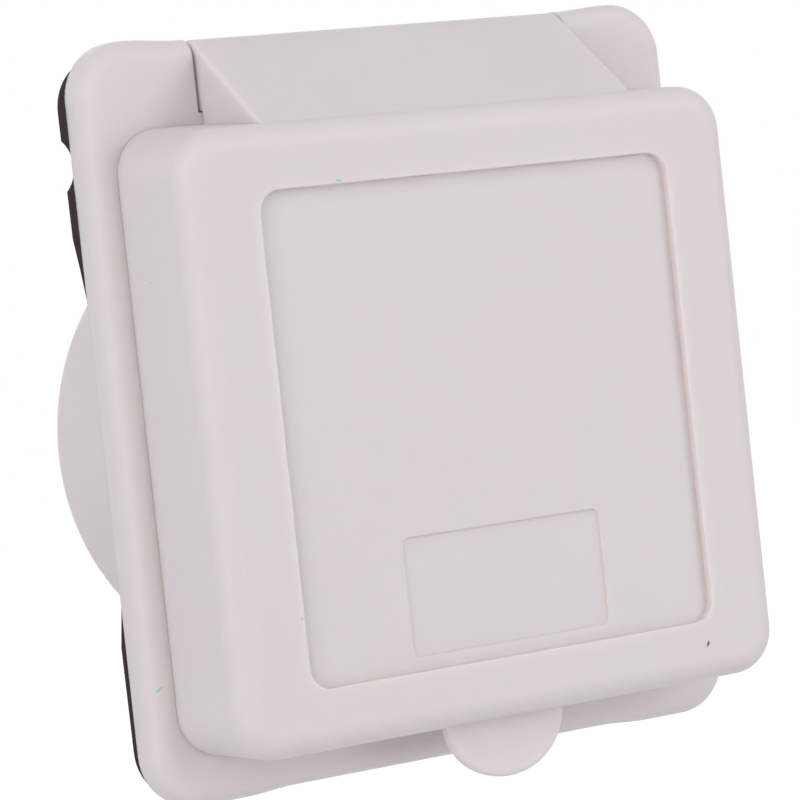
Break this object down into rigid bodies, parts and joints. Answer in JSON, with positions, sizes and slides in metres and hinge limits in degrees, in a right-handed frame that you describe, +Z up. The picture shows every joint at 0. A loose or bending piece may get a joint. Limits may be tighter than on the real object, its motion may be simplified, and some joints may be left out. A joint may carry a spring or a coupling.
{
  "type": "caravan power inlet",
  "caption": "Flush-mount caravan power inlet with a sprung top-hinged lid, recessed contact pins, wall gasket, rear cover and cable gland.",
  "frame": {"origin": "centre of the fixing holes, in the plane of the flange's back face", "axes": "+Z up, +Y into the wall, +X to the right seen from the front"},
  "size_m": [0.1, 0.0866, 0.1099],
  "materials": {
    "white_moulding": "satin, fine moulded grain",
    "black_foam": "closed-cell foam",
    "black_rubber": "smooth",
    "grey_moulding": "satin",
    "black_nylon": "satin",
    "plated_brass": "nickel-plated, bright",
    "zinc_steel": "zinc plated",
    "stainless": "drawn",
    "spring_steel": "drawn wire"
  },
  "bodies": {
    "frame": {"front_frame": "white_moulding", "hinge_pin": "stainless", "lid_spring_left": "spring_steel", "lid_spring_right": "spring_steel", "wall_gasket": "black_foam", "pin_carrier": "grey_moulding", "carrier_seal": "black_rubber", "active_pin": "plated_brass", "neutral_pin": "plated_brass", "earth_pin": "plated_brass", "terminal_screws": "zinc_steel", "carrier_screws": "zinc_steel", "rear_cover": "white_moulding", "rear_cover_seal": "black_rubber", "rear_cover_screws": "stainless", "gland_washer": "black_rubber", "gland_body": "black_nylon", "gland_locknut": "black_nylon", "gland_nut": "black_nylon", "gland_seal": "black_rubber"},
    "lid": {"lid": "white_moulding", "lid_seal": "black_rubber"}
  },
  "joints": [
    {"name": "lid_hinge", "type": "hinge", "parent": "frame", "child": "lid", "pos_m": [0, -0.0031, 0.0555], "axis": [-1, 0, 0], "range_deg": [0, 105], "stiffness_Nm_per_rad": 0.02, "springref_deg": -51.57, "deforming": ["lid_spring_left", "lid_spring_right"]}
  ]
}
